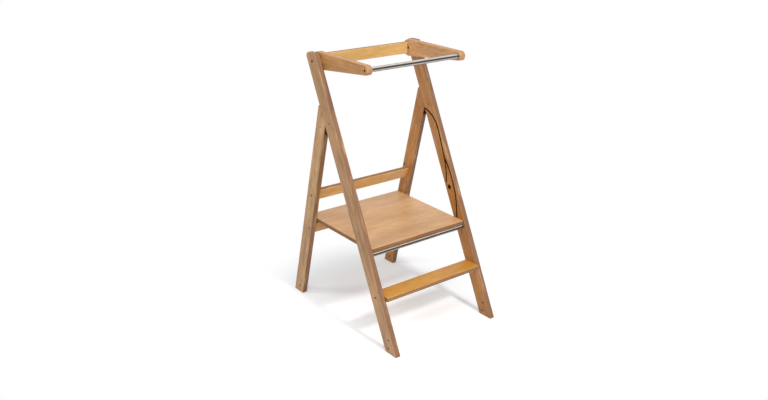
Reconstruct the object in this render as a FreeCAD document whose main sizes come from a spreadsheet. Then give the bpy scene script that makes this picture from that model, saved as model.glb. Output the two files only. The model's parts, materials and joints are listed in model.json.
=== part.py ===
"""Folding kitchen helper stool for a toddler, in millimetres.

Two ply A-frames carry a lower step and a standing platform.  The rear legs hinge on the front
legs, the platform pivots on the rear legs, and a guard of two arms, a back board and a steel
bar pivots at the top of the front legs.

X runs across the stool, +Y points to the rear and +Z up.  The origin is on the floor, at the
middle of the four feet.  Left is the -X side, and the right-hand pieces are mirror images.
"""
import FreeCAD
import Part
import Sketcher
import math
import os
import re

from FreeCAD import Placement, Rotation, Vector

DRIVING_SIZES = [
    ("overall_width", 440.0, "outer face to outer face of the legs"),
    ("foot_depth", 600.5, "front toe to rear heel, over the rounded corners"),
    ("leg_height", 902.0, "top of the front legs"),
    ("leg_thickness", 20.0, "ply of the legs"),
    ("front_leg_width", 50.0, "across the front leg"),
    ("rear_leg_width", 50.0, "across the rear leg"),
    ("front_lean", 26.1, "front leg from the vertical, degrees"),
    ("rear_lean", 13.55, "rear leg from the vertical, degrees"),
    ("seam_gap", 0.3, "between the rear leg's top and the front leg"),
    ("edge_round", 2.5, "routed round on the long edges of the wood"),
    ("tread_round", 4.0, "routed round along the platform and the step"),
    ("foot_round", 2.0, "corner of a foot"),
    ("top_rear_round", 13.0, "rear corner of the leg's top"),
    ("top_front_round", 6.0, "front corner of the leg's top"),
    ("shoulder_round", 4.5, "blunted tip of the rear leg"),
    ("board_thickness", 15.0, "ply of the platform, step and rails"),
    ("side_gap", 1.0, "platform to the leg beside it"),
    ("platform_top", 319.0, "height of the standing surface"),
    ("platform_lead", 51.3, "platform's front edge to the front leg's rear edge, level"),
    ("pivot_inset", 16.0, "platform's rear edge to its pivot"),
    ("pivot_back", 17.4, "pivot to the rear leg's rear edge, level"),
    ("guide_inset", 37.4, "platform's front edge to its guide pins"),
    ("spare_pitch", 84.0, "guide pins to the spare pin holes"),
    ("level_lift", 123.0, "first platform level to the second"),
    ("spare_pivot_back", 10.0, "second-level pivot hole to the rear edge, level"),
    ("spare_rod_back", 19.0, "second-level rod hole to the leg's rear edge"),
    ("step_top", 177.9, "height of the lower step"),
    ("step_depth", 67.0, "front to rear of the lower step"),
    ("step_setback", 3.4, "step's rear edge to the leg's rear edge"),
    ("dowel_offset", 15.0, "dowel to the screw beside it"),
    ("upper_rail_height", 38.5, "across the upper rear rail"),
    ("upper_rail_level", 407.6, "middle of the upper rear rail"),
    ("lower_rail_height", 40.0, "across the lower rear rail"),
    ("lower_rail_drop", 3.0, "platform's underside to the lower rail"),
    ("lower_rail_forward", 14.0, "lower rail to the leg's middle, level"),
    ("rod_radius", 8.0, "rod under the platform's front"),
    ("rod_inset", 7.0, "platform's front edge to the rod's middle"),
    ("rod_socket", 12.0, "depth of the rod's blind hole"),
    ("rest_gap", 0.3, "rod to the platform's underside"),
    ("groove_width", 6.5, "guide groove in the front leg"),
    ("groove_depth", 8.0, "guide groove in the front leg"),
    ("groove_straight", 93.0, "straight run of the groove above the fork"),
    ("groove_bend", 108.0, "radius of the groove's upper bend"),
    ("groove_turn", 60.0, "turn of the groove's upper bend, degrees"),
    ("hinge_drop", 26.7, "leg fork to the hinge pin"),
    ("front_cross_rise", 11.5, "leg fork to the front cross pin"),
    ("rear_cross_drop", 10.2, "leg fork to the rear cross pin"),
    ("leaf_radius", 7.0, "half width of a hinge leaf"),
    ("leaf_thickness", 3.0, "steel of a hinge leaf"),
    ("leaf_gap", 0.3, "between the two leaves"),
    ("hinge_pin_radius", 3.0, "shank of the hinge pin"),
    ("hinge_head_radius", 5.0, "head of the hinge pin"),
    ("hinge_head_length", 1.5, "head of the hinge pin"),
    ("cross_pin_radius", 2.5, "pin through a leg and its leaf"),
    ("pin_inset", 0.4, "pin ends and screw heads below the wood"),
    ("running_clearance", 0.05, "radial, shaft to hole"),
    ("kerf_clearance", 0.4, "hinge leaf to the wood"),
    ("platform_pin_radius", 3.5, "platform pivot pin"),
    ("platform_pin_socket", 12.0, "pivot pin in the rear leg"),
    ("bush_radius", 5.5, "outside of the platform pivot bush"),
    ("bush_length", 18.0, "platform pivot bush"),
    ("guide_pin_radius", 2.9, "platform guide pin"),
    ("guide_pin_socket", 20.0, "guide pin in the platform"),
    ("guide_pin_reach", 0.5, "guide pin proud of the platform's edge"),
    ("spare_hole_depth", 12.0, "spare pin and rod holes"),
    ("guard_pivot_drop", 27.0, "leg's top to the guard pivot"),
    ("arm_rear_radius", 29.0, "rear end of a guard arm"),
    ("arm_front_radius", 15.5, "front end of a guard arm"),
    ("arm_length", 253.0, "guard pivot to the front bar, level"),
    ("arm_thickness", 20.0, "ply of a guard arm"),
    ("arm_gap", 1.5, "leg to guard arm"),
    ("washer_thickness", 1.3, "spacer washer in the arm gap"),
    ("washer_radius", 9.0, "spacer washer"),
    ("guard_board_height", 40.0, "back board of the guard"),
    ("guard_board_drop", 1.3, "guard pivot down to the back board's middle"),
    ("guard_board_thickness", 14.0, "back board of the guard"),
    ("guard_board_back", 5.5, "guard pivot to the back board"),
    ("board_screw_rise", 9.0, "back board's middle to a screw"),
    ("bar_radius", 8.0, "outside of the steel bar"),
    ("bar_wall", 1.5, "wall of the steel bar"),
    ("bar_socket", 10.0, "steel bar in the arm"),
    ("bar_plug_length", 18.0, "threaded plug in the bar's end"),
    ("bolt_radius", 3.0, "guard pivot bolt"),
    ("bolt_head_radius", 4.5, "guard pivot bolt"),
    ("bolt_head_length", 3.5, "guard pivot bolt"),
    ("nut_radius", 4.5, "barrel nut in the guard arm"),
    ("screw_radius", 2.2, "shank of a wood screw"),
    ("screw_head_radius", 4.2, "countersunk head"),
    ("screw_head_length", 3.0, "countersunk head"),
    ("screw_length", 45.0, "whole wood screw"),
    ("socket_radius", 1.9, "corner of the hexagon socket in a head"),
    ("socket_depth", 1.8, "hexagon socket in a head"),
    ("dowel_radius", 4.0, "wooden dowel"),
    ("dowel_in_leg", 10.0, "dowel in the leg"),
    ("dowel_in_board", 20.0, "dowel in the board"),
    ("foot_hole_radius", 2.6, "accessory hole in a foot"),
    ("front_foot_hole_in", 41.2, "front toe to its accessory holes"),
    ("front_foot_hole_low", 17.0, "lower front accessory hole"),
    ("front_foot_hole_pitch", 30.0, "between the front accessory holes"),
    ("rear_foot_hole_in", 33.3, "rear heel to its accessory hole"),
    ("rear_foot_hole_low", 25.0, "rear accessory hole"),
]

DERIVED_SIZES = [
    ("half_width", "overall_width / 2"),
    ("inner_half", "half_width - leg_thickness"),
    ("toe_beyond", "foot_round * (1 / tan((90 - front_lean) / 2) - 1)"),
    ("heel_beyond", "foot_round * (1 / tan((90 - rear_lean) / 2) - 1)"),
    ("front_toe", "-foot_depth / 2 - toe_beyond"),
    ("rear_heel", "foot_depth / 2 + heel_beyond"),
    ("front_run", "tan(front_lean)"),
    ("rear_run", "tan(rear_lean)"),
    ("front_span", "front_leg_width / cos(front_lean)"),
    ("rear_span", "rear_leg_width / cos(rear_lean)"),
    ("front_back_edge", "front_toe + front_span"),
    ("rear_front_edge", "rear_heel - rear_span"),
    ("both_runs", "front_run + rear_run"),
    ("fork_z", "(rear_front_edge - front_back_edge) / both_runs"),
    ("seam_foot", "front_back_edge + seam_gap / cos(front_lean)"),
    ("seam_low_z", "(rear_front_edge - seam_foot) / both_runs"),
    ("seam_low_y", "seam_foot + seam_low_z * front_run"),
    ("seam_high_z", "(rear_heel - seam_foot) / both_runs"),
    ("seam_high_y", "seam_foot + seam_high_z * front_run"),
    ("platform_half", "inner_half - side_gap"),
    ("pivot_z", "platform_top - board_thickness / 2"),
    ("pivot_y", "rear_heel - pivot_z * rear_run - pivot_back"),
    ("platform_rear", "pivot_y + pivot_inset"),
    ("platform_front", "front_back_edge + pivot_z * front_run - platform_lead"),
    ("platform_under", "platform_top - board_thickness"),
    ("guide_y", "platform_front + guide_inset"),
    ("guide_reach", "pivot_y - guide_y"),
    ("spare_pin_y", "guide_y + spare_pitch"),
    ("spare_reach", "guide_reach - spare_pitch"),
    ("spare_pivot_z", "pivot_z + level_lift"),
    ("spare_pivot_y", "rear_heel - spare_pivot_z * rear_run - spare_pivot_back"),
    ("rod_y", "platform_front + rod_inset"),
    ("rod_z", "platform_under - rest_gap - rod_radius"),
    ("spare_rod_z", "rod_z + level_lift"),
    ("spare_rod_y",
     "front_back_edge + spare_rod_z * front_run - spare_rod_back / cos(front_lean)"),
    ("step_under", "step_top - board_thickness"),
    ("step_mid_z", "step_top - board_thickness / 2"),
    ("step_rear", "front_back_edge + step_top * front_run - step_setback"),
    ("step_front", "step_rear - step_depth"),
    ("step_screw_y", "front_toe + front_span / 2 + step_mid_z * front_run"),
    ("upper_rail_y", "rear_heel - rear_span / 2 - upper_rail_level * rear_run"),
    ("lower_rail_level",
     "platform_under - lower_rail_drop - (lower_rail_height * cos(rear_lean)"
     " + board_thickness * sin(rear_lean)) / 2"),
    ("lower_rail_y",
     "rear_heel - rear_span / 2 - lower_rail_level * rear_run - lower_rail_forward"),
    ("hinge_z", "fork_z - hinge_drop"),
    ("hinge_y", "rear_front_edge - hinge_z * rear_run"),
    ("front_cross_z", "fork_z + front_cross_rise"),
    ("front_cross_y", "front_toe + front_span / 2 + front_cross_z * front_run"),
    ("rear_cross_z", "fork_z - rear_cross_drop"),
    ("rear_cross_y", "rear_heel - rear_span / 2 - rear_cross_z * rear_run"),
    ("leaf_middle", "half_width - leg_thickness / 2"),
    ("front_leaf_x", "-leaf_middle - leaf_gap / 2 - leaf_thickness"),
    ("rear_leaf_x", "-leaf_middle + leaf_gap / 2"),
    ("hinge_pin_x", "front_leaf_x - hinge_head_length"),
    ("hinge_grip", "2 * leaf_thickness + 2 * leaf_gap"),
    ("guard_z", "leg_height - guard_pivot_drop"),
    ("guard_y", "front_toe + front_span / 2 + guard_z * front_run"),
    ("bar_y", "guard_y - arm_length"),
    ("bar_z", "guard_z + arm_rear_radius - arm_front_radius"),
    ("arm_outer", "inner_half - arm_gap"),
    ("arm_inner", "arm_outer - arm_thickness"),
    ("bar_half", "arm_inner + bar_socket"),
    ("guard_board_y", "guard_y + guard_board_back"),
    ("guard_board_middle", "guard_board_y + guard_board_thickness / 2"),
    ("guard_board_z", "guard_z - guard_board_drop"),
]

ALL_SIZES = {alias for alias, *rest in DRIVING_SIZES + DERIVED_SIZES}

document = FreeCAD.newDocument("helper_stool")
sheet = document.addObject("Spreadsheet::Sheet", "Sizes")


def fill_sheet():
    """Write the driving sizes as plain numbers and the derived ones as formulas."""
    rows = [(alias, str(value), meaning) for alias, value, meaning in DRIVING_SIZES]
    rows += [(alias, "=" + formula, "derived") for alias, formula in DERIVED_SIZES]
    for row, (alias, content, meaning) in enumerate(rows, start=1):
        sheet.set(f"A{row}", alias)
        sheet.set(f"B{row}", content)
        sheet.set(f"C{row}", meaning)
        sheet.setAlias(f"B{row}", alias)
    document.recompute()


def bound(formula):
    """The formula with each size named as a cell of the sheet."""
    def cell(word):
        return "Sizes." + word.group() if word.group() in ALL_SIZES else word.group()
    return re.sub(r"[a-z_]+", cell, str(formula))


def number(formula):
    """The formula's value now."""
    result = sheet.evalExpression(bound(formula))
    return float(getattr(result, "Value", result))


def bind(item, path, formula):
    item.setExpression(path, bound(formula))


# ---------------------------------------------------------------- outlines across the stool
# Every outline lies in the YZ plane and is padded along +X from the body's own place.

def new_body(name, start_x):
    body = document.addObject("PartDesign::Body", name)
    bind(body, "Placement.Base.x", start_x)
    return body


def new_sketch(body):
    sketch = body.newObject("Sketcher::SketchObject", body.Name + "_outline")
    planes = [item for item in body.Origin.OriginFeatures if item.Role == "YZ_Plane"]
    sketch.AttachmentSupport = [(planes[0], "")]
    sketch.MapMode = "FlatFace"
    return sketch


def fix_point(sketch, geometry, position, y, z):
    """Tie a point of the sketch to two formulas."""
    for kind, formula in (("DistanceX", y), ("DistanceY", z)):
        rule = Sketcher.Constraint(kind, -1, 1, geometry, position, number(formula))
        index = sketch.addConstraint(rule)
        bind(sketch, f"Constraints[{index}]", formula)


def fix_radius(sketch, geometry, formula):
    index = sketch.addConstraint(Sketcher.Constraint("Radius", geometry, number(formula)))
    bind(sketch, f"Constraints[{index}]", formula)


def pad_outline(body, sketch, thickness):
    pad = body.newObject("PartDesign::Pad", body.Name + "_pad")
    pad.Profile = sketch
    bind(pad, "Length", thickness)
    document.recompute()
    return pad


def polygon_body(name, start_x, thickness, corners):
    """A board whose outline runs through the corners, given as (y, z) formulas."""
    body = new_body(name, start_x)
    sketch = new_sketch(body)
    points = [Vector(number(y), number(z), 0) for y, z in corners]
    for index, point in enumerate(points):
        following = points[(index + 1) % len(points)]
        sketch.addGeometry(Part.LineSegment(point, following), False)
    for index in range(len(points)):
        following = (index + 1) % len(points)
        sketch.addConstraint(Sketcher.Constraint("Coincident", index, 2, following, 1))
    for index, (y, z) in enumerate(corners):
        fix_point(sketch, index, 1, y, z)
    pad_outline(body, sketch, thickness)
    return body


def link_body(name, start_x, thickness, first, second):
    """A plate around two round ends, each given as (y, z, radius) formulas."""
    body = new_body(name, start_x)
    sketch = new_sketch(body)
    ends = [(Vector(number(y), number(z), 0), number(radius)) for y, z, radius in (first, second)]
    (centre_a, radius_a), (centre_b, radius_b) = ends
    span = centre_b - centre_a
    heading = math.atan2(span.y, span.x)
    flare = math.acos((radius_a - radius_b) / span.Length)
    normal = Vector(0, 0, 1)
    low, high = heading - flare, heading + flare
    arc_a = Part.ArcOfCircle(Part.Circle(centre_a, normal, radius_a), high, low + 2 * math.pi)
    arc_b = Part.ArcOfCircle(Part.Circle(centre_b, normal, radius_b), low, high)

    def on_arc(centre, radius, angle):
        return centre + Vector(math.cos(angle), math.sin(angle), 0) * radius

    lower = Part.LineSegment(on_arc(centre_a, radius_a, low), on_arc(centre_b, radius_b, low))
    upper = Part.LineSegment(on_arc(centre_b, radius_b, high), on_arc(centre_a, radius_a, high))
    for curve in (arc_a, lower, arc_b, upper):
        sketch.addGeometry(curve, False)
    for index in range(4):
        rule = Sketcher.Constraint("Tangent", index, 2, (index + 1) % 4, 1)
        sketch.addConstraint(rule)
    for geometry, (y, z, radius) in ((0, first), (2, second)):
        fix_point(sketch, geometry, 3, y, z)
        fix_radius(sketch, geometry, radius)
    pad_outline(body, sketch, thickness)
    return body


# ---------------------------------------------------------------- rounding

SMALL = 0.01


def middle(edge):
    return edge.valueAt((edge.FirstParameter + edge.LastParameter) / 2)


def runs_across(edge):
    """The edge runs along X, from one face of the board to the other."""
    return edge.BoundBox.XLength > SMALL and edge.BoundBox.YLength + edge.BoundBox.ZLength < SMALL


def fillet(body, radius, chosen):
    """Round the edges of the body's tip that the test chooses."""
    tip = body.Tip
    names = [f"Edge{index}" for index, edge in enumerate(tip.Shape.Edges, start=1) if chosen(edge)]
    if not names:
        raise RuntimeError(f"{body.Name}: no edge to round")
    feature = body.newObject("PartDesign::Fillet", f"{body.Name}_round_{len(body.Group)}")
    feature.Base = (tip, names)
    bind(feature, "Radius", radius)
    body.Tip = feature
    document.recompute()


def round_corner(body, radius, y, z):
    """Round the outline's corner at (y, z), across the board's thickness."""
    corner = Vector(0, number(y), number(z))

    def chosen(edge):
        place = middle(edge)
        level = Vector(0, place.y, place.z)
        return runs_across(edge) and (level - corner).Length < SMALL
    fillet(body, radius, chosen)


def round_long_edges(body, skip=lambda place: False):
    """Round both faces' outlines, apart from the edges that skip names."""
    def chosen(edge):
        return edge.BoundBox.XLength < SMALL and not skip(middle(edge))
    fillet(body, "edge_round", chosen)


# ---------------------------------------------------------------- round pieces and cutters

ALONG_X = Rotation(Vector(0, 1, 0), 90)


def lie_along_x(item, length, start_x, y, z):
    """Turn a primitive to +X, with its base at the formulas' place."""
    item.Placement = Placement(Vector(0, 0, 0), ALONG_X)
    bind(item, "Height", length)
    for axis, formula in zip("xyz", (start_x, y, z)):
        bind(item, f"Placement.Base.{axis}", formula)
    return item


def cylinder(name, radius, length, start_x, y, z):
    item = document.addObject("Part::Cylinder", name)
    bind(item, "Radius", radius)
    return lie_along_x(item, length, start_x, y, z)


def cone(name, start_radius, end_radius, length, start_x, y, z):
    item = document.addObject("Part::Cone", name)
    bind(item, "Radius1", start_radius)
    bind(item, "Radius2", end_radius)
    return lie_along_x(item, length, start_x, y, z)


def hexagon(name, radius, length, start_x, y, z):
    item = document.addObject("Part::Prism", name)
    item.Polygon = 6
    bind(item, "Circumradius", radius)
    return lie_along_x(item, length, start_x, y, z)


def fuse(name, items):
    item = document.addObject("Part::MultiFuse", name)
    item.Shapes = items
    item.Refine = True
    return item


def cut(name, base, tools):
    item = document.addObject("Part::Cut", name)
    item.Base = base
    item.Tool = tools[0] if len(tools) == 1 else fuse(name + "_cutters", tools)
    return item


def mirror(name, source):
    """The right-hand copy of a left-hand item."""
    item = document.addObject("Part::Mirroring", name)
    item.Source = source
    item.Normal = Vector(1, 0, 0)
    item.Base = Vector(0, 0, 0)
    return item


def both_sides(name, left_items):
    """One node that holds the left-hand pieces and their mirror images as separate solids."""
    item = document.addObject("Part::Compound", name)
    right_items = [mirror(f"{left.Name}_right", left) for left in left_items]
    item.Links = left_items + right_items
    return item


nodes = []


def node(name, item):
    """Name a finished sub-part, which is written to its own file."""
    item.Label = name
    nodes.append(item)
    return item


def pair(name, left_item):
    """Two nodes, left and right, from a left-hand piece."""
    node("left_" + name, left_item)
    node("right_" + name, mirror("right_" + name, left_item))


# ---------------------------------------------------------------- screws

def wood_screw(name, face_x, y, z, length="screw_length"):
    """A countersunk screw that goes in along +X from a left-hand face."""
    start = f"{face_x} + pin_inset"
    head = cone(name + "_head", "screw_head_radius", "screw_radius", "screw_head_length",
                start, y, z)
    shank = cylinder(name + "_shank", "screw_radius", length, start, y, z)
    socket = hexagon(name + "_socket", "socket_radius", "socket_depth", start, y, z)
    return cut(name, fuse(name + "_blank", [head, shank]), [socket])


def wood_screw_hole(name, face_x, y, z, length="screw_length"):
    """The seat of a wood screw, a clearance larger all round and open at the face."""
    seat = cone(name + "_seat", "screw_head_radius + running_clearance",
                "screw_radius + running_clearance", "screw_head_length",
                f"{face_x} + pin_inset", y, z)
    mouth = cylinder(name + "_mouth", "screw_head_radius + running_clearance",
                     "2 * pin_inset", f"{face_x} - pin_inset", y, z)
    bore = cylinder(name + "_bore", "screw_radius + running_clearance",
                    f"{length} + running_clearance", f"{face_x} + pin_inset", y, z)
    return [seat, mouth, bore]


def hole(name, radius, length, start_x, y, z, clearance="running_clearance"):
    """A round cutter that fits a pin of this radius with a clearance."""
    return cylinder(name, f"{radius} + {clearance}", length, start_x, y, z)


# ---------------------------------------------------------------- the guide groove

def arc_slot(centre, radius, start, end, width):
    """A round-ended slot along an arc in the YZ plane; angles run from +Y towards +Z."""
    axis = Vector(1, 0, 0)
    half = width / 2

    def on_ring(ring_radius, angle):
        return centre + Vector(0, math.cos(angle), math.sin(angle)) * ring_radius

    def arc(ring_radius):
        ring = (on_ring(ring_radius, angle) for angle in (start, (start + end) / 2, end))
        return Part.Arc(*ring).toShape()

    def cap(angle, direction):
        tip = on_ring(radius, angle) + Vector(0, -math.sin(angle), math.cos(angle)) * direction
        inner_end = on_ring(radius - half, angle)
        outer_end = on_ring(radius + half, angle)
        return Part.Arc(inner_end, tip, outer_end).toShape()

    sides = [arc(radius + half), cap(end, half), arc(radius - half), cap(start, -half)]
    outline = Part.Wire(Part.__sortEdges__(sides))
    return Part.Face(outline).extrude(axis * (number("groove_depth") + half))


def straight_slot(begin, finish, width):
    """A slot along a straight line in the YZ plane."""
    along = (finish - begin).normalize()
    across = Vector(0, -along.z, along.y) * (width / 2)
    corners = [begin + across, finish + across, finish - across, begin - across, begin + across]
    depth = Vector(number("groove_depth") + width / 2, 0, 0)
    return Part.Face(Part.makePolygon(corners)).extrude(depth)


def groove_cutter():
    """The routed path of the guide pins, in the left front leg's inner face.

    The lower branch is centred on the platform pivot and the short branch on the second-level
    pivot.  The two meet at the fork, and one groove goes on from there, straight and then bent
    to the leg's rear edge.
    """
    width = number("groove_width")
    start_x = -number("inner_half") - number("groove_depth")
    pivot = Vector(start_x, number("pivot_y"), number("pivot_z"))
    spare_pivot = Vector(start_x, number("spare_pivot_y"), number("spare_pivot_z"))
    reach = number("guide_reach")
    spare_reach = number("spare_reach")
    between = spare_pivot - pivot
    along = (reach ** 2 - spare_reach ** 2 + between.Length ** 2) / (2 * between.Length)
    aside = math.sqrt(reach ** 2 - along ** 2)
    towards = Vector(between).normalize()
    fork = pivot + towards * along + Vector(0, -towards.z, towards.y) * aside

    def angle_about(centre):
        return math.atan2(fork.z - centre.z, fork.y - centre.y)

    lower = arc_slot(pivot, reach, angle_about(pivot), math.pi, width)
    branch = arc_slot(spare_pivot, spare_reach, angle_about(spare_pivot), math.pi, width)
    from_spare = (fork - spare_pivot).normalize()
    climb = Vector(0, from_spare.z, -from_spare.y)
    bend_start = fork + climb * number("groove_straight")
    straight = straight_slot(fork, bend_start, width)
    bend = number("groove_bend")
    bend_centre = bend_start - from_spare * bend
    bend_angle = math.atan2(from_spare.z, from_spare.y)
    bend_end = bend_angle - math.radians(number("groove_turn"))
    curve = arc_slot(bend_centre, bend, bend_end, bend_angle, width)
    cutter = document.addObject("Part::Feature", "guide_groove")
    cutter.Shape = lower.fuse([branch, straight, curve]).removeSplitter()
    return cutter


# ---------------------------------------------------------------- legs

def hinge_cutters(name):
    """Kerfs for both hinge leaves and the room for the hinge pin's heads."""
    slot_radius = "leaf_radius + kerf_clearance"
    hinge_end = ("hinge_y", "hinge_z", slot_radius)
    front_kerf = link_body(name + "_front_kerf", "front_leaf_x - kerf_clearance",
                           "leaf_thickness + kerf_clearance + leaf_gap / 2", hinge_end,
                           ("front_cross_y", "front_cross_z", slot_radius))
    rear_kerf = link_body(name + "_rear_kerf", "rear_leaf_x - leaf_gap / 2",
                          "leaf_thickness + kerf_clearance + leaf_gap / 2", hinge_end,
                          ("rear_cross_y", "rear_cross_z", slot_radius))
    head_room = cylinder(name + "_head_room", "hinge_head_radius + kerf_clearance",
                         "hinge_grip + 2 * hinge_head_length + 2 * kerf_clearance",
                         "hinge_pin_x - kerf_clearance", "hinge_y", "hinge_z")
    return [front_kerf, rear_kerf, head_room]


def make_front_leg():
    corners = [
        ("front_toe", "0"),
        ("front_back_edge", "0"),
        ("front_back_edge + leg_height * front_run", "leg_height"),
        ("front_toe + leg_height * front_run", "leg_height"),
    ]
    blank = polygon_body("front_leg_blank", "-half_width", "leg_thickness", corners)
    radii = ("foot_round", "foot_round", "top_rear_round", "top_front_round")
    for radius, (y, z) in zip(radii, corners):
        round_corner(blank, radius, y, z)
    round_long_edges(blank)
    through = "leg_thickness + 2"
    outside = "-half_width - 1"
    cutters = hinge_cutters("front_leg") + [groove_cutter()]
    cutters += wood_screw_hole("front_leg_step", "-half_width", "step_screw_y", "step_mid_z")
    cutters += [
        hole("front_leg_step_dowel", "dowel_radius", "dowel_in_leg + 1",
             "-inner_half - dowel_in_leg", "step_screw_y - dowel_offset", "step_mid_z"),
        hole("front_leg_rod", "rod_radius", "rod_socket + 1", "-inner_half - rod_socket",
             "rod_y", "rod_z"),
        hole("front_leg_spare_rod", "rod_radius", "spare_hole_depth + 1",
             "-inner_half - spare_hole_depth", "spare_rod_y", "spare_rod_z"),
        hole("front_leg_cross_pin", "cross_pin_radius", through, outside,
             "front_cross_y", "front_cross_z"),
        hole("front_leg_guard_bolt", "bolt_radius", through, outside, "guard_y", "guard_z"),
        hole("front_leg_guard_bolt_head", "bolt_head_radius",
             "bolt_head_length + pin_inset + 1", outside, "guard_y", "guard_z"),
        cylinder("front_leg_low_foot_hole", "foot_hole_radius", through, outside,
                 "front_toe + front_foot_hole_in", "front_foot_hole_low"),
        cylinder("front_leg_high_foot_hole", "foot_hole_radius", through, outside,
                 "front_toe + front_foot_hole_in", "front_foot_hole_low + front_foot_hole_pitch"),
    ]
    pair("front_leg", cut("left_front_leg", blank, cutters))


def make_rear_leg():
    corners = [
        ("rear_heel", "0"),
        ("seam_high_y", "seam_high_z"),
        ("seam_low_y", "seam_low_z"),
        ("rear_front_edge", "0"),
    ]
    blank = polygon_body("rear_leg_blank", "-half_width", "leg_thickness", corners)
    for radius, index in (("foot_round", 0), ("shoulder_round", 1), ("foot_round", 3)):
        round_corner(blank, radius, *corners[index])
    seam_height = number("seam_low_z")
    seam_foot = number("seam_foot")
    front_run = number("front_run")

    def on_seam(place):
        return place.z > seam_height and place.y < seam_foot + place.z * front_run + SMALL
    round_long_edges(blank, on_seam)
    through = "leg_thickness + 2"
    outside = "-half_width - 1"
    cutters = hinge_cutters("rear_leg")
    for rail in ("upper", "lower"):
        cutters += wood_screw_hole(f"rear_leg_{rail}_rail", "-half_width", f"{rail}_rail_y",
                                   f"{rail}_rail_level")
        cutters.append(
            hole(f"rear_leg_{rail}_dowel", "dowel_radius", "dowel_in_leg + 1",
                 "-inner_half - dowel_in_leg", *rail_dowel_place(rail)))
    cutters += [
        hole("rear_leg_pivot", "platform_pin_radius", "platform_pin_socket + 1",
             "-inner_half - platform_pin_socket", "pivot_y", "pivot_z"),
        hole("rear_leg_spare_pivot", "platform_pin_radius", "spare_hole_depth + 1",
             "-inner_half - spare_hole_depth", "spare_pivot_y", "spare_pivot_z"),
        hole("rear_leg_cross_pin", "cross_pin_radius", through, outside,
             "rear_cross_y", "rear_cross_z"),
        cylinder("rear_leg_foot_hole", "foot_hole_radius", through, outside,
                 "rear_heel - rear_foot_hole_in", "rear_foot_hole_low"),
    ]
    pair("rear_leg", cut("left_rear_leg", blank, cutters))


# ---------------------------------------------------------------- step, rails and platform

def make_step():
    corners = [
        ("step_front", "step_under"),
        ("step_rear", "step_under"),
        ("step_rear", "step_top"),
        ("step_front", "step_top"),
    ]
    board = polygon_body("step_board", "-inner_half", "2 * inner_half", corners)
    fillet(board, "tread_round", runs_across)
    holes = [
        hole("step_screw", "screw_radius", "screw_length + 2", "-half_width - 1",
             "step_screw_y", "step_mid_z"),
        hole("step_dowel", "dowel_radius", "dowel_in_board + 1", "-inner_half - 1",
             "step_screw_y - dowel_offset", "step_mid_z"),
    ]
    holes += [mirror(f"{item.Name}_right", item) for item in holes]
    node("lower_step", cut("lower_step", board, holes))
    screw = wood_screw("left_step_screw", "-half_width", "step_screw_y", "step_mid_z")
    node("step_screws", both_sides("step_screws", [screw]))
    dowel = cylinder("left_step_dowel", "dowel_radius", "dowel_in_leg + dowel_in_board",
                     "-inner_half - dowel_in_leg", "step_screw_y - dowel_offset", "step_mid_z")
    node("step_dowels", both_sides("step_dowels", [dowel]))


def rail_dowel_place(rail):
    """The dowel sits below the screw, along the rail's own height."""
    shift = f"{rail}_rail_height / 2 - dowel_radius - 3"
    return (f"{rail}_rail_y + ({shift}) * sin(rear_lean)",
            f"{rail}_rail_level - ({shift}) * cos(rear_lean)")


def make_rails():
    """Both rails stand between the rear legs and lean with them."""
    screws = []
    dowels = []
    for rail in ("upper", "lower"):
        corners = []
        for side, end in ((-1, -1), (1, -1), (1, 1), (-1, 1)):
            across = f"{side} * board_thickness / 2"
            along = f"{end} * {rail}_rail_height / 2"
            corners.append((
                f"{rail}_rail_y + {across} * cos(rear_lean) - {along} * sin(rear_lean)",
                f"{rail}_rail_level + {across} * sin(rear_lean) + {along} * cos(rear_lean)"))
        board = polygon_body(rail + "_rail_board", "-inner_half", "2 * inner_half", corners)
        fillet(board, "edge_round", runs_across)
        place = (f"{rail}_rail_y", f"{rail}_rail_level")
        holes = [
            hole(f"{rail}_rail_screw", "screw_radius", "screw_length + 2", "-half_width - 1",
                 *place),
            hole(f"{rail}_rail_dowel", "dowel_radius", "dowel_in_board + 1",
                 "-inner_half - 1", *rail_dowel_place(rail)),
        ]
        holes += [mirror(f"{item.Name}_right", item) for item in holes]
        node(f"{rail}_rear_rail", cut(f"{rail}_rear_rail", board, holes))
        screws.append(wood_screw(f"{rail}_left_rail_screw", "-half_width", *place))
        dowels.append(cylinder(f"{rail}_left_rail_dowel", "dowel_radius",
                               "dowel_in_leg + dowel_in_board",
                               "-inner_half - dowel_in_leg", *rail_dowel_place(rail)))
    node("rail_screws", both_sides("rail_screws", screws))
    node("rail_dowels", both_sides("rail_dowels", dowels))


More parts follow.
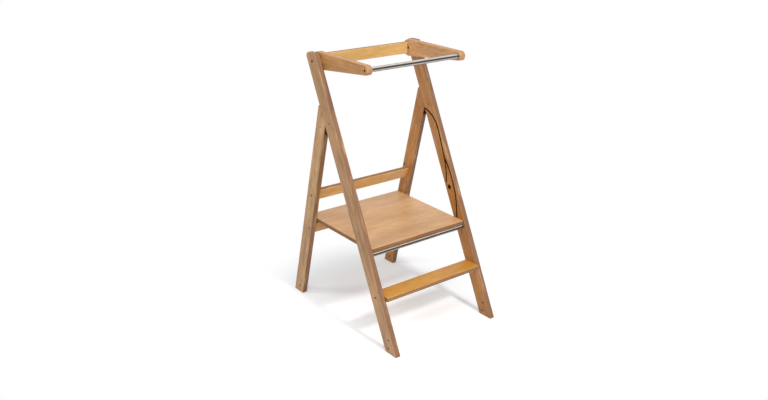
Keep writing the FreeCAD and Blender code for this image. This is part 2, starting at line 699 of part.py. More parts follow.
def make_platform():
    corners = [
        ("platform_front", "platform_under"),
        ("platform_rear", "platform_under"),
        ("platform_rear", "platform_top"),
        ("platform_front", "platform_top"),
    ]
    board = polygon_body("platform_blank", "-platform_half", "2 * platform_half", corners)
    fillet(board, "tread_round", runs_across)
    round_long_edges(board)
    holes = [
        hole("platform_bush_hole", "bush_radius", "bush_length + 1", "-platform_half - 1",
             "pivot_y", "pivot_z"),
        hole("platform_guide_hole", "guide_pin_radius", "guide_pin_socket + 1",
             "-platform_half - 1", "guide_y", "pivot_z"),
        hole("platform_spare_hole", "guide_pin_radius", "spare_hole_depth + 1",
             "-platform_half - 1", "spare_pin_y", "pivot_z"),
    ]
    holes += [mirror(f"{item.Name}_right", item) for item in holes]
    node("platform_board", cut("platform_board", board, holes))
    sleeve = cylinder("bush_sleeve", "bush_radius", "bush_length", "-platform_half",
                      "pivot_y", "pivot_z")
    bore = hole("bush_bore", "platform_pin_radius", "bush_length + 2", "-platform_half - 1",
                "pivot_y", "pivot_z")
    bush = cut("left_platform_bush", sleeve, [bore])
    node("platform_pivot_bushes", both_sides("platform_pivot_bushes", [bush]))
    pivot_pin = cylinder("left_platform_pivot_pin", "platform_pin_radius",
                         "platform_pin_socket + side_gap + bush_length - 0.5",
                         "-inner_half - platform_pin_socket", "pivot_y", "pivot_z")
    node("platform_pivot_pins", both_sides("platform_pivot_pins", [pivot_pin]))
    guide_pin = cylinder("left_guide_pin", "guide_pin_radius",
                         "guide_pin_socket + guide_pin_reach",
                         "-platform_half - guide_pin_reach", "guide_y", "pivot_z")
    node("platform_guide_pins", both_sides("platform_guide_pins", [guide_pin]))
    rod = cylinder("platform_rest_rod", "rod_radius", "2 * inner_half + 2 * rod_socket",
                   "-inner_half - rod_socket", "rod_y", "rod_z")
    node("platform_rest_rod", rod)


# ---------------------------------------------------------------- leg hinges

def make_hinges():
    hinge_end = ("hinge_y", "hinge_z", "leaf_radius")
    front_plate = link_body("front_leaf_plate", "front_leaf_x", "leaf_thickness", hinge_end,
                            ("front_cross_y", "front_cross_z", "leaf_radius"))
    front_holes = [
        hole("front_leaf_pin_hole", "hinge_pin_radius", "leaf_thickness + 2",
             "front_leaf_x - 1", "hinge_y", "hinge_z"),
        hole("front_leaf_cross_hole", "cross_pin_radius", "leaf_thickness + 2",
             "front_leaf_x - 1", "front_cross_y", "front_cross_z"),
    ]
    pair("hinge_front_leaf", cut("left_hinge_front_leaf", front_plate, front_holes))
    rear_plate = link_body("rear_leaf_plate", "rear_leaf_x", "leaf_thickness", hinge_end,
                           ("rear_cross_y", "rear_cross_z", "leaf_radius"))
    rear_holes = [
        hole("rear_leaf_pin_hole", "hinge_pin_radius", "leaf_thickness + 2",
             "rear_leaf_x - 1", "hinge_y", "hinge_z"),
        hole("rear_leaf_cross_hole", "cross_pin_radius", "leaf_thickness + 2",
             "rear_leaf_x - 1", "rear_cross_y", "rear_cross_z"),
    ]
    pair("hinge_rear_leaf", cut("left_hinge_rear_leaf", rear_plate, rear_holes))
    outer_head = cylinder("hinge_pin_outer_head", "hinge_head_radius", "hinge_head_length",
                          "hinge_pin_x", "hinge_y", "hinge_z")
    shank = cylinder("hinge_pin_shank", "hinge_pin_radius",
                     "hinge_grip + 2 * hinge_head_length", "hinge_pin_x", "hinge_y", "hinge_z")
    inner_head = cylinder("hinge_pin_inner_head", "hinge_head_radius", "hinge_head_length",
                          "hinge_pin_x + hinge_head_length + hinge_grip", "hinge_y", "hinge_z")
    pin = fuse("left_hinge_pin", [outer_head, shank, inner_head])
    node("hinge_pins", both_sides("hinge_pins", [pin]))
    for leg in ("front", "rear"):
        cross_pin = cylinder(f"left_{leg}_cross_pin", "cross_pin_radius",
                             "leg_thickness - 2 * pin_inset", "-half_width + pin_inset",
                             f"{leg}_cross_y", f"{leg}_cross_z")
        name = f"{leg}_hinge_cross_pins"
        node(name, both_sides(name, [cross_pin]))


# ---------------------------------------------------------------- guard

def make_guard_arms():
    blank = link_body("guard_arm_blank", "-arm_outer", "arm_thickness",
                      ("guard_y", "guard_z", "arm_rear_radius"),
                      ("bar_y", "bar_z", "arm_front_radius"))
    round_long_edges(blank)
    outside = "-arm_outer - 1"
    cutters = [
        hole("arm_nut_hole", "nut_radius", "arm_thickness + 2", outside, "guard_y", "guard_z"),
        hole("arm_bar_socket", "bar_radius", "bar_socket + 1", "-bar_half", "bar_y", "bar_z"),
    ]
    cutters += wood_screw_hole("arm_bar_screw", "-arm_outer", "bar_y", "bar_z")
    for end, side in (("high", "+"), ("low", "-")):
        cutters += wood_screw_hole(f"arm_{end}_board_screw", "-arm_outer",
                                   "guard_board_middle",
                                   f"guard_board_z {side} board_screw_rise")
    pair("guard_arm", cut("left_guard_arm", blank, cutters))


def make_guard_board():
    corners = [
        ("guard_board_y", "guard_board_z - guard_board_height / 2"),
        ("guard_board_y + guard_board_thickness", "guard_board_z - guard_board_height / 2"),
        ("guard_board_y + guard_board_thickness", "guard_board_z + guard_board_height / 2"),
        ("guard_board_y", "guard_board_z + guard_board_height / 2"),
    ]
    board = polygon_body("guard_board_blank", "-arm_inner", "2 * arm_inner", corners)
    fillet(board, "edge_round", runs_across)
    holes = []
    screws = []
    for end, side in (("high", "+"), ("low", "-")):
        place = ("guard_board_middle", f"guard_board_z {side} board_screw_rise")
        holes.append(hole(f"{end}_board_screw_hole", "screw_radius", "screw_length + 1",
                          "-arm_outer", *place))
        screws.append(wood_screw(f"{end}_left_board_screw", "-arm_outer", *place))
    holes += [mirror(f"{item.Name}_right", item) for item in holes]
    node("guard_back_board", cut("guard_back_board", board, holes))
    node("guard_board_screws", both_sides("guard_board_screws", screws))


def make_guard_bar():
    outside = cylinder("bar_outside", "bar_radius", "2 * bar_half", "-bar_half",
                       "bar_y", "bar_z")
    bore = cylinder("bar_bore", "bar_radius - bar_wall", "2 * bar_half + 2", "-bar_half - 1",
                    "bar_y", "bar_z")
    node("guard_front_bar", cut("guard_front_bar", outside, [bore]))
    plug_blank = cylinder("plug_blank", "bar_radius - bar_wall - running_clearance",
                          "bar_plug_length", "-bar_half", "bar_y", "bar_z")
    plug_bore = hole("plug_bore", "screw_radius", "bar_plug_length + 2", "-bar_half - 1",
                     "bar_y", "bar_z")
    plug = cut("left_bar_plug", plug_blank, [plug_bore])
    node("guard_bar_plugs", both_sides("guard_bar_plugs", [plug]))
    screw = wood_screw("left_bar_screw", "-arm_outer", "bar_y", "bar_z",
                       "arm_thickness - bar_socket + bar_plug_length - pin_inset")
    node("guard_bar_screws", both_sides("guard_bar_screws", [screw]))


def make_guard_pivots():
    head_x = "-half_width + pin_inset"
    nut_x = "-arm_outer + 1"
    nut_length = "arm_thickness - 1 - pin_inset"
    head = cylinder("pivot_bolt_head", "bolt_head_radius", "bolt_head_length", head_x,
                    "guard_y", "guard_z")
    shank = cylinder("pivot_bolt_shank", "bolt_radius",
                     "leg_thickness + arm_gap + arm_thickness / 2", head_x,
                     "guard_y", "guard_z")
    socket = hexagon("pivot_bolt_socket", "socket_radius", "socket_depth", head_x,
                     "guard_y", "guard_z")
    bolt = cut("left_pivot_bolt", fuse("pivot_bolt_blank", [head, shank]), [socket])
    node("guard_pivot_bolts", both_sides("guard_pivot_bolts", [bolt]))
    barrel = cylinder("barrel_nut_blank", "nut_radius", nut_length, nut_x,
                      "guard_y", "guard_z")
    thread = hole("barrel_nut_thread", "bolt_radius", "arm_thickness / 2 + pin_inset", nut_x,
                  "guard_y", "guard_z")
    key = hexagon("barrel_nut_socket", "socket_radius", "socket_depth",
                  f"{nut_x} + {nut_length} - socket_depth", "guard_y", "guard_z")
    nut = cut("left_barrel_nut", barrel, [thread, key])
    node("guard_barrel_nuts", both_sides("guard_barrel_nuts", [nut]))
    ring = cylinder("washer_blank", "washer_radius", "washer_thickness", "-inner_half",
                    "guard_y", "guard_z")
    ring_hole = hole("washer_hole", "bolt_radius", "washer_thickness + 2", "-inner_half - 1",
                     "guard_y", "guard_z")
    washer = cut("left_spacer_washer", ring, [ring_hole])
    node("guard_spacer_washers", both_sides("guard_spacer_washers", [washer]))


# ---------------------------------------------------------------- checks and files

def check_document():
    """Stop if any object failed or any sub-part is empty or not valid."""
    for item in document.Objects:
        if {"Invalid", "Error"} & set(item.State):
            raise RuntimeError(f"{item.Name}: {item.State}")
    for item in nodes:
        shape = item.Shape
        if shape.isNull() or not shape.isValid() or not shape.Solids:
            raise RuntimeError(f"{item.Label}: the shape is not a valid solid")


def write_files():
    os.makedirs("parts", exist_ok=True)
    for item in nodes:
        item.Shape.exportStep(os.path.join("parts", item.Label + ".step"))
        print(f"{item.Label:28s} {len(item.Shape.Solids)} solids {item.Shape.Volume:12.1f} mm3")


fill_sheet()
make_front_leg()
make_rear_leg()
make_step()
make_rails()
make_platform()
make_hinges()
make_guard_arms()
make_guard_board()
make_guard_bar()
make_guard_pivots()
document.recompute()
check_document()
write_files()
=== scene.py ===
"""Looks of the folding kitchen helper stool: varnished ply, plated steel and dark screws.

Everything is in metres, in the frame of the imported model: X across the stool, +Y to the rear,
+Z up.  Each wooden piece gets a solid ply material whose grain, plies and edges follow that
piece's own directions.
"""
import json
import math

import bpy
from mathutils import Matrix, Vector


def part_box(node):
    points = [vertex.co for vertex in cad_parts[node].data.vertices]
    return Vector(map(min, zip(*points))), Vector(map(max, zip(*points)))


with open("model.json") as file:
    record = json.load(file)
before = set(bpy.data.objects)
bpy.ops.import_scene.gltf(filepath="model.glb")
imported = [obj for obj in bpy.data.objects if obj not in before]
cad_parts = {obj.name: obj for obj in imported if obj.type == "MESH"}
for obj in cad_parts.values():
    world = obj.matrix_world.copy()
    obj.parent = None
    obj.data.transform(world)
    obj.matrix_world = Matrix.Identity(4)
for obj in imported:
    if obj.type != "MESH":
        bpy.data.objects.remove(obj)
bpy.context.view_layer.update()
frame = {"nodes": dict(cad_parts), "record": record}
NODES = frame["nodes"]

# ---------------------------------------------------------------- the photograph's camera

CAMERA_PLACE = (-1.64426, -2.04347, 1.43253)
CAMERA_YAW = -38.118
CAMERA_PITCH = -21.572
CAMERA_ROLL = 0.775
CAMERA_LENS = 38.55
CAMERA_SENSOR = 36.0


def make_camera():
    """Yaw turns the view from +Y about Z, pitch lifts it and roll tilts the picture."""
    data = bpy.data.cameras.new("photo_camera")
    data.lens = CAMERA_LENS
    data.sensor_width = CAMERA_SENSOR
    camera = bpy.data.objects.new("photo_camera", data)
    yaw = Matrix.Rotation(math.radians(CAMERA_YAW), 4, "Z")
    pitch = Matrix.Rotation(math.radians(90 + CAMERA_PITCH), 4, "X")
    roll = Matrix.Rotation(math.radians(CAMERA_ROLL), 4, "Z")
    camera.matrix_world = Matrix.Translation(CAMERA_PLACE) @ yaw @ pitch @ roll
    bpy.context.scene.collection.objects.link(camera)
    bpy.context.scene.camera = camera


# ---------------------------------------------------------------- node helpers

class Tree:
    """A material whose shader nodes are written short.

    node returns the node that it makes, and the calls from math to stretch return the output
    of theirs.
    """

    def __init__(self, name):
        self.material = bpy.data.materials.new(name)
        self.material.use_nodes = True
        self.tree = self.material.node_tree
        self.shader = self.tree.nodes["Principled BSDF"]

    def node(self, kind, inputs=None, **settings):
        made = self.tree.nodes.new(kind)
        for key, value in settings.items():
            setattr(made, key, value)
        for key, value in (inputs or {}).items():
            self.put(made.inputs[key], value)
        return made

    def put(self, socket, value):
        if isinstance(value, bpy.types.NodeSocket):
            self.tree.links.new(value, socket)
        else:
            socket.default_value = value

    def math(self, operation, *values, clamp=False):
        made = self.node("ShaderNodeMath", operation=operation, use_clamp=clamp)
        for socket, value in zip(made.inputs, values):
            self.put(socket, value)
        return made.outputs[0]

    def mix(self, factor, first, second):
        made = self.node("ShaderNodeMix", data_type="RGBA")
        self.put(made.inputs["Factor"], factor)
        self.put(made.inputs["A"], first)
        self.put(made.inputs["B"], second)
        return made.outputs["Result"]

    def smooth(self, value, low, high, out_low=0.0, out_high=1.0):
        made = self.node("ShaderNodeMapRange", interpolation_type="SMOOTHSTEP")
        for key, item in (("Value", value), ("From Min", low), ("From Max", high),
                          ("To Min", out_low), ("To Max", out_high)):
            self.put(made.inputs[key], item)
        return made.outputs["Result"]

    def noise(self, vector, scale, detail=3.0, roughness=0.55, distortion=0.0):
        made = self.node("ShaderNodeTexNoise", {"Vector": vector, "Scale": scale,
                                                "Detail": detail, "Roughness": roughness,
                                                "Distortion": distortion})
        return made.outputs["Fac"]

    def stretch(self, vector, scales, shift=(0.0, 0.0, 0.0)):
        made = self.node("ShaderNodeMapping", {"Vector": vector, "Scale": scales,
                                               "Location": shift})
        return made.outputs["Vector"]

    def set(self, **sockets):
        for key, value in sockets.items():
            self.put(self.shader.inputs[key.replace("_", " ")], value)


def linear(red, green, blue):
    """An sRGB colour, 0 to 255, as the shader takes it."""
    def channel(value):
        share = value / 255
        return share / 12.92 if share <= 0.04045 else ((share + 0.055) / 1.055) ** 2.4
    return (channel(red), channel(green), channel(blue), 1.0)


def darker(colour, share):
    return tuple(value * share for value in colour[:3]) + (1.0,)


def lighter(colour, share):
    return tuple(min(1.0, value * share) for value in colour[:3]) + (1.0,)


# ---------------------------------------------------------------- ply

PLY_THICKNESS = 0.00145
PLY_WANDER = 0.0004
SEED_SHIFT = (3.7, 1.9, 0.83)
# the colour of the painted shade in the routed hollows and in the bores
RECESS_SHADE = linear(46, 29, 16)

# the distances over which a look fades in, from a face, from a side or from a bore's middle
# how far in from a face the painted highlight on the arrises fades in
ARRIS_HIGHLIGHT_FROM_FACE = (0.0002, 0.0006)
ROUTED_FROM_FACE = (0.0001, 0.0008)
ROUTED_FROM_SIDE = (0.0009, 0.0016)
# the painted shade in a bore is full inside the smaller radius and gone past the larger
BORE_SHADE_RADII = (0.0042, 0.0030)


def reach(node, direction, middle):
    """How far each vertex of a node lies from its middle, along a direction."""
    return [(vertex.co - middle).dot(direction) for vertex in NODES[node].data.vertices]


def ply(node, along, stacked, front, back, edge, seed, uneven, dark_span=None, holes=()):
    """Varnished ply for one node.

    along is the face grain's direction and stacked the direction through the plies.  front and
    back are the pale and dark colours of the two face veneers, front on the side that stacked
    points away from, and edge is the colour of the plies' edges.  uneven is how much the stain
    varies from streak to streak.  The plies are counted from the front face.  Inside the
    board, between the two heights of dark_span, routed surfaces get painted shade, and so do
    the bores of the holes, given by their (y, z).
    """
    low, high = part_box(node)
    middle = (low + high) / 2
    along = Vector(along).normalized()
    stacked = Vector(stacked).normalized()
    across = stacked.cross(along)
    half_thickness = max(abs(value) for value in reach(node, stacked, middle))
    t = Tree(f"ply_{node}")
    place = t.node("ShaderNodeTexCoord").outputs["Object"]
    offset = t.node("ShaderNodeVectorMath", {0: place, 1: middle}, operation="SUBTRACT")
    offset = offset.outputs["Vector"]

    def measure(direction):
        made = t.node("ShaderNodeVectorMath", {0: offset, 1: direction},
                      operation="DOT_PRODUCT")
        return made.outputs["Value"]
    run, side, depth = measure(along), measure(across), measure(stacked)
    board = t.node("ShaderNodeCombineXYZ", {"X": run, "Y": side, "Z": depth}).outputs[0]
    seeded = t.stretch(board, (1, 1, 1), tuple(seed * shift for shift in SEED_SHIFT))

    # face veneer: broad clouds, a mottle, faint wavy rings, fine fibres and short dark flecks
    clouds = t.noise(t.stretch(seeded, (3.2, 10, 4)), 1.0, 3.0, 0.55, 0.4)
    mottle = t.noise(t.stretch(seeded, (26, 70, 40)), 1.0, 3.0, 0.6, 0.8)
    figure = t.noise(t.stretch(seeded, (1.6, 15, 1)), 1.0, 3.0, 0.5, 0.6)
    rings = t.smooth(t.math("SINE", t.math("MULTIPLY", figure, 38.0)), -0.6, 1.0)
    fibre = t.noise(t.stretch(seeded, (18, 700, 700)), 1.0, 4.0, 0.65)
    flecks = t.noise(t.stretch(seeded, (150, 1300, 1300)), 1.0, 2.0, 0.6)
    flecks = t.smooth(flecks, 0.60, 0.74)
    tone = t.math("MULTIPLY", t.smooth(clouds, 0.30, 0.70), 0.48)
    tone = t.math("ADD", tone, t.math("MULTIPLY", t.smooth(mottle, 0.32, 0.68), 0.26))
    tone = t.math("ADD", tone, t.math("MULTIPLY", rings, 0.14))
    tone = t.math("ADD", tone, t.math("MULTIPLY", t.smooth(fibre, 0.30, 0.72), 0.28))
    tone = t.math("MULTIPLY", tone, 0.95, clamp=True)
    far_side = t.math("GREATER_THAN", depth, 0.0)
    pale = t.mix(far_side, front[0], back[0])
    dark = t.mix(far_side, front[1], back[1])
    veneer = t.mix(tone, pale, dark)
    veneer = t.mix(t.math("MULTIPLY", flecks, 0.22), veneer, darker(front[1], 0.62))

    # inner plies: long grain and end grain take turns, with a thin dark glue line between
    wander = t.math("MULTIPLY", t.noise(t.stretch(seeded, (9, 9, 9)), 1.0, 1.0), PLY_WANDER)
    level = t.math("ADD", t.math("ADD", depth, wander), half_thickness)
    count = t.math("DIVIDE", level, PLY_THICKNESS)
    index = t.math("FLOOR", count)
    within = t.math("FRACT", count)
    parity = t.math("FLOORED_MODULO", index, 2.0)
    glue = t.math("MULTIPLY", t.smooth(within, 0.0, 0.12, 1.0, 0.0), 0.55)
    ply_seed = t.node("ShaderNodeTexWhiteNoise", {"W": index}, noise_dimensions="1D")
    ply_tone = ply_seed.outputs["Value"]
    end_speckle = t.noise(t.stretch(seeded, (1300, 1300, 500)), 1.0, 2.0, 0.6)
    long_streak = t.noise(t.stretch(seeded, (25, 1400, 1400)), 1.0, 2.0, 0.6)
    long_ply = t.mix(t.smooth(long_streak, 0.35, 0.7), lighter(edge, 1.12), darker(edge, 0.86))
    end_ply = t.mix(t.smooth(end_speckle, 0.35, 0.7), darker(edge, 0.80), darker(edge, 0.52))
    inner = t.mix(parity, end_ply, long_ply)
    inner = t.mix(t.math("MULTIPLY", ply_tone, 0.30), inner, darker(edge, 0.70))
    inner = t.mix(glue, inner, darker(edge, 0.42))
    stain = t.noise(t.stretch(seeded, (12, 12, 12)), 1.0, 3.0, 0.6)
    inner = t.mix(t.smooth(stain, 0.35, 0.70, 0.0, 0.30), inner, darker(edge, 0.66))
    from_face = t.math("SUBTRACT", half_thickness, t.math("ABSOLUTE", depth))
    inside = t.smooth(from_face, PLY_THICKNESS * 0.55, PLY_THICKNESS * 0.75)
    colour = t.mix(inside, veneer, inner)

    # the rounded arrises are painted paler, a painted highlight; wear: the varnish gathers
    # dirt, the stain is streaky
    # painted highlight: a paler band along the rounded arrises, just inside each face
    rim = t.math("MULTIPLY", t.smooth(from_face, *ARRIS_HIGHLIGHT_FROM_FACE),
                 t.smooth(from_face, PLY_THICKNESS * 0.7, PLY_THICKNESS * 0.5))
    colour = t.mix(t.math("MULTIPLY", rim, 0.45), colour, lighter(front[0], 1.18))
    haze = t.noise(t.stretch(seeded, (7, 7, 7)), 1.0, 3.0, 0.6)
    colour = t.mix(t.smooth(haze, 0.35, 0.75, 0.0, 0.16), colour, darker(front[1], 0.80))
    blotch = t.noise(t.stretch(seeded, (11, 80, 80), (2.3, 5.1, 0.7)), 1.0, 3.0, 0.6, 0.4)
    colour = t.mix(t.smooth(blotch, 0.50, 0.72, 0.0, 0.50 * uneven), colour,
                   darker(front[1], 0.70))
    colour = t.mix(t.smooth(blotch, 0.48, 0.28, 0.0, 0.40 * uneven), colour,
                   lighter(front[0], 1.20))

    # painted shade in the routed hollows and in the bores
    if dark_span:
        height = t.node("ShaderNodeSeparateXYZ", {0: place}).outputs["Z"]
        sides = reach(node, across, middle)
        from_side = t.math("MINIMUM", t.math("SUBTRACT", side, min(sides)),
                           t.math("SUBTRACT", max(sides), side))
        hollow = t.math("MULTIPLY", t.smooth(from_side, *ROUTED_FROM_SIDE),
                        t.smooth(from_face, *ROUTED_FROM_FACE))
        hollow = t.math("MULTIPLY", hollow, t.math("GREATER_THAN", height, dark_span[0]))
        hollow = t.math("MULTIPLY", hollow, t.math("LESS_THAN", height, dark_span[1]))
        # painted shade on the routed surfaces
        colour = t.mix(t.math("MULTIPLY", hollow, 0.9), colour, RECESS_SHADE)
    for y, z in holes:
        flat = t.node("ShaderNodeVectorMath", {0: place, 1: (0, 1, 1)}, operation="MULTIPLY")
        away = t.node("ShaderNodeVectorMath", {0: flat.outputs[0], 1: (0, y, z)},
                      operation="DISTANCE").outputs["Value"]
        # painted shade in the bore
        colour = t.mix(t.smooth(away, *BORE_SHADE_RADII, 0.0, 0.95), colour, RECESS_SHADE)

    polish = t.noise(t.stretch(seeded, (30, 120, 120)), 1.0, 3.0, 0.6)
    roughness = t.math("ADD", t.smooth(polish, 0.3, 0.7, 0.36, 0.48),
                       t.math("MULTIPLY", inside, 0.14))
    pores = t.math("ADD", t.math("MULTIPLY", fibre, 0.6), t.math("MULTIPLY", flecks, -0.5))
    pores = t.math("ADD", pores, t.math("MULTIPLY", t.math("MULTIPLY", glue, inside), -1.2))
    bump = t.node("ShaderNodeBump", {"Height": pores, "Strength": 0.22,
                                     "Distance": 0.0004}).outputs["Normal"]
    t.set(Base_Color=colour, Roughness=roughness, Normal=bump, Specular_IOR_Level=0.38,
          Coat_Weight=0.12, Coat_Roughness=0.28)
    return t.material


# ---------------------------------------------------------------- metals, dowels and nylon

# the turns up from level, in radians, at which each painted reflection band on a tube starts,
# is full, starts to fade and has ended
UPPER_BAND = (0.50, 0.66, 1.34, 1.50)
LOWER_BAND = (-0.80, -0.66, -0.20, -0.06)


def plated_steel(name, colour, roughness):
    """Zinc plating, smudged, with faint lines square to the stool's width."""
    t = Tree(name)
    place = t.node("ShaderNodeTexCoord").outputs["Object"]
    lines = t.noise(t.stretch(place, (1400, 12, 12)), 1.0, 3.0, 0.6)
    smudge = t.noise(t.stretch(place, (30, 30, 30)), 1.0, 3.0, 0.6)
    rough = t.math("ADD", t.smooth(smudge, 0.35, 0.75, roughness, roughness + 0.10),
                   t.math("MULTIPLY", lines, 0.05))
    tint = t.mix(t.smooth(smudge, 0.3, 0.8, 0.0, 0.5), colour, darker(colour, 0.80))
    bump = t.node("ShaderNodeBump", {"Height": lines, "Strength": 0.10,
                                     "Distance": 0.0002}).outputs["Normal"]
    t.set(Base_Color=tint, Metallic=1.0, Roughness=rough, Normal=bump)
    return t.material


def banded_tube(name, colour, roughness):
    """A polished tube along X, with painted reflections: light and dark bands along it for what
    it would mirror.

    The bands are set by how far up or down the surface faces, alike in front and behind.
    """
    t = Tree(name)
    place = t.node("ShaderNodeTexCoord").outputs["Object"]
    normal = t.node("ShaderNodeNewGeometry").outputs["Normal"]
    facing = t.node("ShaderNodeSeparateXYZ", {0: normal}).outputs
    turn = t.math("ARCTAN2", facing["Z"], t.math("ABSOLUTE", facing["Y"]))

    def band(start, full, fade, end):
        return t.math("MULTIPLY", t.smooth(turn, start, full), t.smooth(turn, end, fade))
    lines = t.noise(t.stretch(place, (12, 1400, 1400)), 1.0, 3.0, 0.6)
    smudge = t.noise(t.stretch(place, (30, 30, 30)), 1.0, 3.0, 0.6)
    # painted reflection: lighter bands where the tube faces partly up or partly down, darker
    # between
    shade = t.mix(band(*UPPER_BAND), darker(colour, 0.36), lighter(colour, 4.6))
    shade = t.mix(band(*LOWER_BAND), shade, lighter(colour, 3.6))
    shade = t.mix(t.smooth(smudge, 0.3, 0.8, 0.0, 0.4), shade, darker(colour, 0.80))
    bump = t.node("ShaderNodeBump", {"Height": lines, "Strength": 0.10,
                                     "Distance": 0.0002}).outputs["Normal"]
    rough = t.smooth(smudge, 0.35, 0.75, roughness, roughness + 0.10)
    t.set(Base_Color=shade, Metallic=1.0, Roughness=rough, Normal=bump)
    return t.material


def blacked_steel(name, dark, rubbed):
    """Oil-darkened steel, rubbed a little brighter in patches."""
    t = Tree(name)
    place = t.node("ShaderNodeTexCoord").outputs["Object"]
    patches = t.smooth(t.noise(place, 420.0, 3.0, 0.6), 0.45, 0.75)
    colour = t.mix(patches, dark, rubbed)
    t.set(Base_Color=colour, Metallic=0.2, Specular_IOR_Level=0.2, Roughness=t.math(
        "SUBTRACT", 0.62, t.math("MULTIPLY", patches, 0.15)))
    return t.material


def beech(name):
    """Plain turned beech for the dowels, with flecks along them."""
    t = Tree(name)
    place = t.node("ShaderNodeTexCoord").outputs["Object"]
    flecks = t.noise(t.stretch(place, (60, 900, 900)), 1.0, 3.0, 0.6)
    colour = t.mix(t.smooth(flecks, 0.35, 0.7), linear(214, 180, 134), linear(178, 136, 92))
    t.set(Base_Color=colour, Roughness=0.6)
    return t.material


def nylon(name):
    """Black moulded nylon with a fine spark-eroded grain."""
    t = Tree(name)
    place = t.node("ShaderNodeTexCoord").outputs["Object"]
    grain = t.noise(place, 2600.0, 2.0, 0.5)
    colour = t.mix(grain, linear(24, 23, 22), linear(52, 50, 48))
    bump = t.node("ShaderNodeBump", {"Height": grain, "Strength": 0.15,
                                     "Distance": 0.0002}).outputs["Normal"]
    t.set(Base_Color=colour, Roughness=0.5, Normal=bump)
    return t.material


# ---------------------------------------------------------------- dressing the pieces

FRONT_LEAN = math.radians(26.1)
REAR_LEAN = math.radians(-13.55)
ACROSS = (1, 0, 0)
REARWARD = (0, 1, 0)
UPWARD = (0, 0, 1)
THROUGH_RAIL = (0, math.cos(REAR_LEAN), -math.sin(REAR_LEAN))
INWARD = {"left": (1, 0, 0), "right": (-1, 0, 0)}
LEG_UNEVEN = 1.4
ARM_UNEVEN = 0.7

PLATFORM_VENEER = (linear(220, 176, 128), linear(184, 138, 90))
STEP_VENEER = (linear(216, 161, 79), linear(183, 123, 45))
UPPER_RAIL_VENEER = (linear(221, 179, 121), linear(184, 134, 75))
LOWER_RAIL_VENEER = (linear(213, 163, 96), linear(178, 122, 59))
ARM_OUTER = (linear(221, 163, 91), linear(163, 113, 61))
ARM_INNER = (linear(229, 177, 123), linear(169, 124, 84))
GUARD_VENEER = (linear(225, 183, 116), linear(185, 139, 76))
BOARD_EDGE = linear(150, 104, 68)
STEP_EDGE = linear(152, 112, 71)
PLATFORM_EDGE = linear(139, 95, 58)
ARM_EDGE = linear(196, 146, 106)

# each kind of leg: its lean, outer and inner veneers, edge, and the heights of its routing
LEGS = [
    ("front_leg", FRONT_LEAN, (linear(187, 143, 98), linear(145, 104, 61)),
     (linear(200, 139, 71), linear(154, 96, 38)), linear(146, 104, 74), (0.07, 0.855)),
    ("rear_leg", REAR_LEAN, (linear(205, 161, 111), linear(159, 117, 70)),
     (linear(203, 135, 56), linear(155, 93, 28)), linear(149, 107, 73), (0.06, 0.675)),
]

# each board across the stool: the direction through its plies, veneer, edge and unevenness
BOARDS = [
    ("lower_step", UPWARD, STEP_VENEER, STEP_EDGE, 0.4),
    ("upper_rear_rail", THROUGH_RAIL, UPPER_RAIL_VENEER, BOARD_EDGE, 0.4),
    ("lower_rear_rail", THROUGH_RAIL, LOWER_RAIL_VENEER, BOARD_EDGE, 0.4),
    ("platform_board", UPWARD, PLATFORM_VENEER, PLATFORM_EDGE, 0.2),
    ("guard_back_board", REARWARD, GUARD_VENEER, BOARD_EDGE, 0.4),
]


def leaning(angle):
    """Up a leg that leans from the vertical, to the rear when the angle is positive."""
    return (0, math.sin(angle), math.cos(angle))


def foot_holes(leg):
    """The (y, z) of the accessory holes in a leg's foot, from the record's mounts."""
    places = []
    for mount in frame["record"]["mounts"]:
        if mount["name"].startswith(leg.replace("_leg", "_foot_hole")):
            y, z = mount["pos_m"][1:]
            half_pitch = mount["dims"].get("spacing_y_mm", 0.0) / 2000
            places += [(y, z - half_pitch), (y, z + half_pitch)] if half_pitch else [(y, z)]
    return places


def paint(node, material):
    for slot in NODES[node].material_slots:
        slot.material = material


def dress():
    seed = 0
    for side, inward in INWARD.items():
        for leg, lean, outer, inner, edge, hollows in LEGS:
            seed += 1
            node = f"{side}_{leg}"
            paint(node, ply(node, leaning(lean), inward, outer, inner, edge, seed,
                            LEG_UNEVEN, hollows, foot_holes(node)))
        seed += 1
        arm = f"{side}_guard_arm"
        paint(arm, ply(arm, REARWARD, inward, ARM_OUTER, ARM_INNER, ARM_EDGE, seed,
                       ARM_UNEVEN))
    for node, stacked, veneer, edge, uneven in BOARDS:
        seed += 1
        paint(node, ply(node, ACROSS, stacked, veneer, veneer, edge, seed, uneven))
    bar = banded_tube("banded_bar", linear(112, 108, 104), 0.22)
    zinc = plated_steel("zinc_plate", linear(70, 64, 58), 0.40)
    black = blacked_steel("black_screw", linear(34, 24, 17), linear(62, 46, 34))
    brown = blacked_steel("brown_screw", linear(112, 78, 48), linear(134, 96, 62))
    metals = {
        "platform_rest_rod": bar,
        "guard_front_bar": bar,
        "left_hinge_front_leaf": zinc,
        "right_hinge_front_leaf": zinc,
        "left_hinge_rear_leaf": zinc,
        "right_hinge_rear_leaf": zinc,
        "hinge_pins": black,
        "front_hinge_cross_pins": black,
        "rear_hinge_cross_pins": black,
        "platform_pivot_pins": zinc,
        "platform_guide_pins": zinc,
        "guard_bar_plugs": zinc,
        "step_screws": brown,
        "rail_screws": brown,
        "guard_pivot_bolts": black,
        "guard_barrel_nuts": black,
        "guard_bar_screws": black,
        "guard_board_screws": black,
    }
    for node, material in metals.items():
        paint(node, material)
    dowel = beech("beech_dowel")
    for node in ("step_dowels", "rail_dowels"):
        paint(node, dowel)
    black_nylon = nylon("black_nylon")
    for node in ("platform_pivot_bushes", "guard_spacer_washers"):
        paint(node, black_nylon)


# ---------------------------------------------------------------- floor, lamps and backdrop

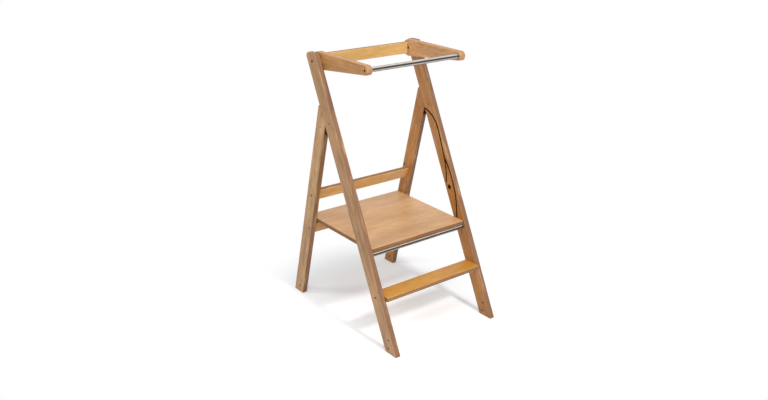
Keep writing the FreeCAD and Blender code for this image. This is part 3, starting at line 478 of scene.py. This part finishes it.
FLOOR_SIZE = 40
FLOOR_COLOUR = (0.88, 0.88, 0.89, 1)
FLOOR_TINT = (0.82, 0.84, 0.86, 1.0)
FLOOR_GLOW = 0.30
FILL_COLOUR = (0.95, 0.97, 1.0, 1)
FILL_STRENGTH = 0.40
WHITE = (1.0, 1.0, 1.0, 1.0)

# the floor turns white between these two distances from this place
CLEAR_MIDDLE = (0.03, -0.01, 0.0)
CLEAR_RADII = (0.36, 0.60)

# each lamp's name, place, width and power
LAMPS = [
    ("key", (0.0, -3.0, 3.5), 0.6, 104),
    ("top", (-0.9, -1.2, 3.5), 1.8, 36),
    ("left", (-2.2, 1.0, 3.4), 0.9, 22),
    ("low", (-1.6, -0.9, 0.15), 0.7, 6),
]
LAMP_TARGET = (0, 0, 0.4)


def seen_ray(tree):
    """1 where the camera, a reflection or a transmission looks, 0 for the light's own rays."""
    path = tree.nodes.new("ShaderNodeLightPath")
    value = path.outputs["Is Camera Ray"]
    for name in ("Is Glossy Ray", "Is Transmission Ray"):
        larger = tree.nodes.new("ShaderNodeMath")
        larger.operation = "MAXIMUM"
        tree.links.new(value, larger.inputs[0])
        tree.links.new(path.outputs[name], larger.inputs[1])
        value = larger.outputs[0]
    return value


def make_floor():
    """A pale floor that keeps the stool's shadow and shows as white around it.

    Light bounces from it as from a plain pale floor.  Where it is looked at, a glow lifts it
    towards white, and past the stool's surroundings it is white altogether.
    """
    bpy.ops.mesh.primitive_plane_add(size=FLOOR_SIZE, location=(0, 0, 0))
    floor = bpy.context.object
    floor.name = "floor"
    t = Tree("pale_floor")
    t.set(Base_Color=FLOOR_COLOUR, Roughness=0.9, Specular_IOR_Level=0.0)
    place = t.node("ShaderNodeTexCoord").outputs["Object"]
    away = t.node("ShaderNodeVectorMath", {0: place, 1: CLEAR_MIDDLE}, operation="DISTANCE")
    clear = t.smooth(away.outputs["Value"], *CLEAR_RADII)
    shadowed = t.node("ShaderNodeAddShader", {
        0: t.node("ShaderNodeBsdfDiffuse", {"Color": FLOOR_TINT}).outputs[0],
        1: t.node("ShaderNodeEmission", {"Strength": FLOOR_GLOW}).outputs[0]})
    white = t.node("ShaderNodeEmission", {"Strength": 1.0})
    looked_at = t.node("ShaderNodeMixShader", {0: clear, 1: shadowed.outputs[0],
                                               2: white.outputs[0]})
    both = t.node("ShaderNodeMixShader", {0: seen_ray(t.tree), 1: t.shader.outputs[0],
                                          2: looked_at.outputs[0]})
    t.tree.links.new(both.outputs[0], t.tree.nodes["Material Output"].inputs["Surface"])
    floor.data.materials.append(t.material)


def make_world():
    """White where the camera or a reflection looks at it, and a soft even fill elsewhere."""
    world = bpy.data.worlds.new("studio")
    bpy.context.scene.world = world
    world.use_nodes = True
    tree = world.node_tree
    tree.nodes.clear()
    fill = tree.nodes.new("ShaderNodeBackground")
    fill.inputs["Color"].default_value = FILL_COLOUR
    fill.inputs["Strength"].default_value = FILL_STRENGTH
    white = tree.nodes.new("ShaderNodeBackground")
    white.inputs["Color"].default_value = WHITE
    white.inputs["Strength"].default_value = 1.0
    mix = tree.nodes.new("ShaderNodeMixShader")
    out = tree.nodes.new("ShaderNodeOutputWorld")
    tree.links.new(seen_ray(tree), mix.inputs["Fac"])
    tree.links.new(fill.outputs[0], mix.inputs[1])
    tree.links.new(white.outputs[0], mix.inputs[2])
    tree.links.new(mix.outputs[0], out.inputs["Surface"])


def make_lamp(name, place, width, power):
    data = bpy.data.lights.new(name, "AREA")
    data.shape = "DISK"
    data.size = width
    data.energy = power
    lamp = bpy.data.objects.new(name, data)
    lamp.location = place
    aim = Vector(LAMP_TARGET) - Vector(place)
    lamp.rotation_euler = aim.to_track_quat("-Z", "Y").to_euler()
    bpy.context.scene.collection.objects.link(lamp)


def set_stage():
    make_floor()
    make_world()
    for lamp in LAMPS:
        make_lamp(*lamp)
    bpy.context.scene.view_settings.view_transform = "Standard"


make_camera()
set_stage()
dress()
